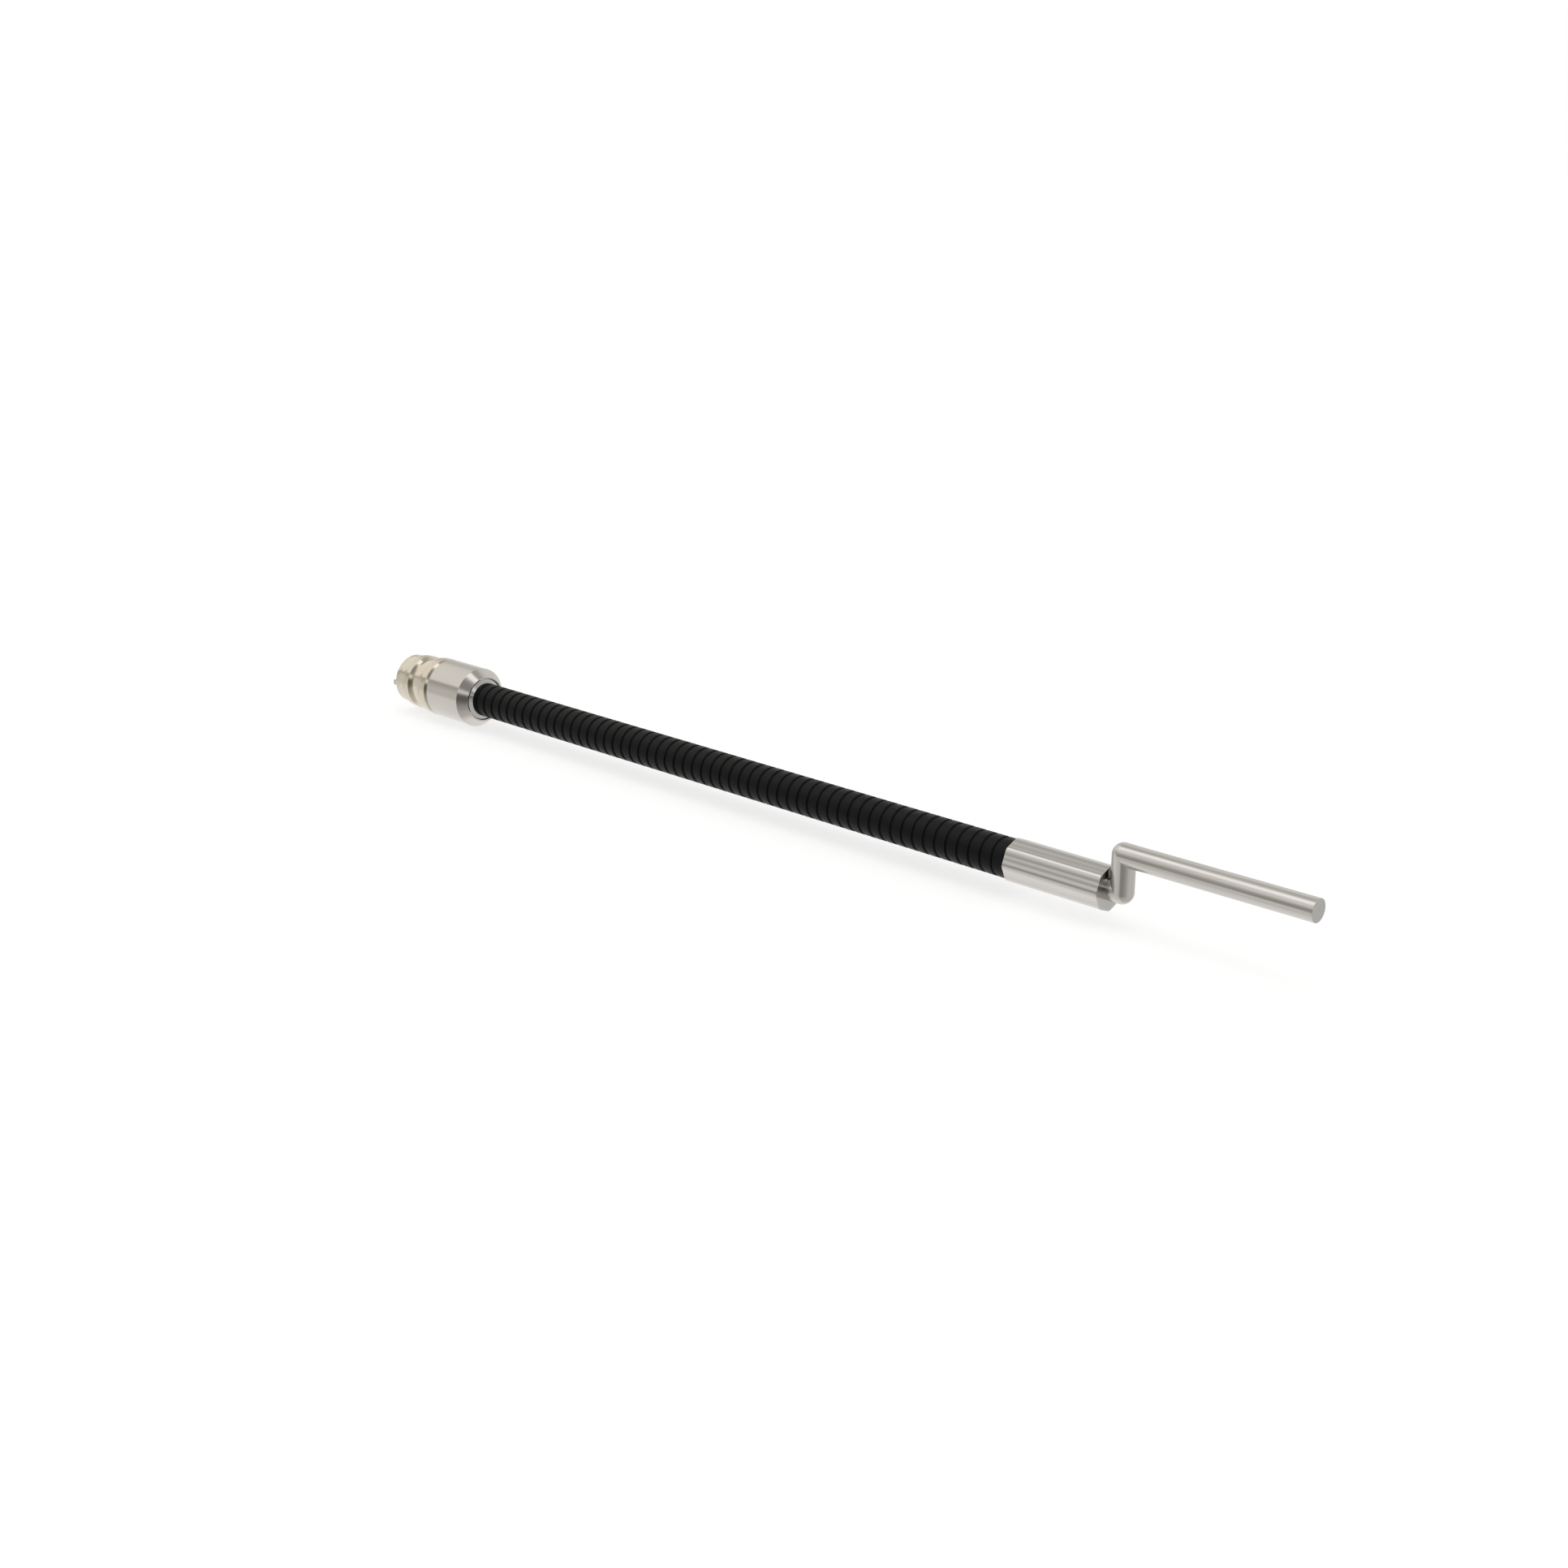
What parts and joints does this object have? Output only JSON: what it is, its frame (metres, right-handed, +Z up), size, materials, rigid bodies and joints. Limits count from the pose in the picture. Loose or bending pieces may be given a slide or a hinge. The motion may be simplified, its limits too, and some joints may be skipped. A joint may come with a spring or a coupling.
{
  "type": "cable shutter release",
  "caption": "Straight ribbed release cable with a stepped swivel coupling at one end and a pull-and-turn cranked rod in an octagonal sleeve at the other.",
  "frame": {"origin": "centre of the coupling's nose face, where it meets the camera", "axes": "+X along the cable towards the crank's free end, +Z up along the crank's upright leg, +Y to the far side"},
  "size_m": [0.2008, 0.0112, 0.0133],
  "materials": {
    "warm_nickel": "satin, warm tint",
    "nickel_hub": "turned, dull",
    "lug_steel": "milled",
    "polished_steel": "fine satin, polished cone",
    "bronze": "turned, oiled",
    "ferrule_steel": "turned",
    "washer_plastic": "matt",
    "spring_steel": "drawn wire",
    "black_sheath": "satin black, ribbed",
    "liner_steel": "wound wire",
    "lining_plastic": "smooth",
    "core_steel": "stranded wire",
    "pin_steel": "ground",
    "brushed_sleeve": "brushed along its length",
    "bush_steel": "faced and polished",
    "brushed_rod": "brushed along its length"
  },
  "bodies": {
    "cable": {"ribbed_sheath": "black_sheath", "wound_liner": "liner_steel", "inner_lining": "lining_plastic", "end_ferrule": "ferrule_steel", "collar_washer": "washer_plastic", "thrust_washer": "washer_plastic", "retaining_clip": "spring_steel", "rear_ferrule": "ferrule_steel", "crimp_sleeve": "brushed_sleeve", "end_bush": "bush_steel", "return_spring": "spring_steel"},
    "coupling": {"coupling_shell": "polished_steel", "swivel_bush": "bronze", "nose_hub": "nickel_hub", "nose_ring": "warm_nickel", "lock_ring": "warm_nickel", "nose_bush": "bronze", "locating_lugs": "lug_steel"},
    "spring_carrier": {"spring_seat": "bronze"},
    "crank": {"cranked_rod": "brushed_rod", "seat_clip": "spring_steel", "core_cable": "core_steel", "plunger_pin": "pin_steel"}
  },
  "joints": [
    {"name": "coupling_swivel", "type": "hinge", "parent": "cable", "child": "coupling", "pos_m": [0.018, 0, 0], "axis": [1, 0, 0], "continuous": true},
    {"name": "rod_pull", "type": "slide", "parent": "cable", "child": "spring_carrier", "axis": [1, 0, 0], "range_m": [0, 0.005], "stiffness_N_per_m": 350, "springref_m": -0.003, "deforming": ["return_spring"]},
    {"name": "crank_turn", "type": "hinge", "parent": "spring_carrier", "child": "crank", "pos_m": [0.164, 0, 0], "axis": [1, 0, 0], "continuous": true}
  ]
}
